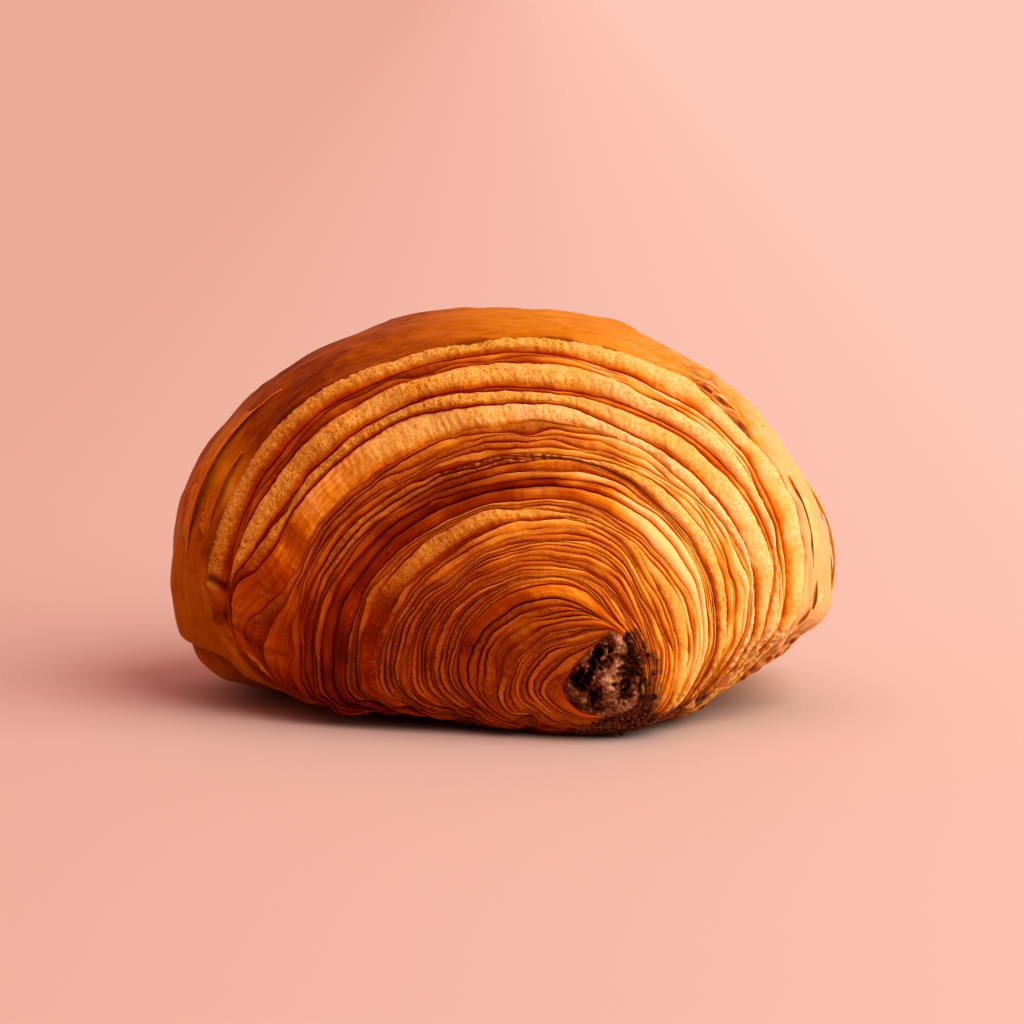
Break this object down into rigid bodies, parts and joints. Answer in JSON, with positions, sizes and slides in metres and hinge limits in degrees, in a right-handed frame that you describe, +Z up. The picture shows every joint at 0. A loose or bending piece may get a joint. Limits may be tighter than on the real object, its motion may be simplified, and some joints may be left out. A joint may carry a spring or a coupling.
{
  "type": "pain au chocolat",
  "caption": "Baked roll of laminated dough round a chocolate filling that shows at its coiled ends, resting on a flat underside.",
  "frame": {"origin": "centre of the footprint, on the surface that the pastry rests on", "axes": "+X across the roll, +Y along the roll from the front coiled end to the back one, +Z up from the surface"},
  "size_m": [0.106, 0.088, 0.062],
  "materials": {
    "baked_dough": "egg-washed golden-brown crust, glossy on top, with paler flaky layer edges",
    "chocolate": "dark chocolate, melted and set, dull and crumbly where it shows"
  },
  "bodies": {
    "root": {"laminated_dough": "baked_dough", "chocolate_filling": "chocolate"}
  },
  "joints": []
}
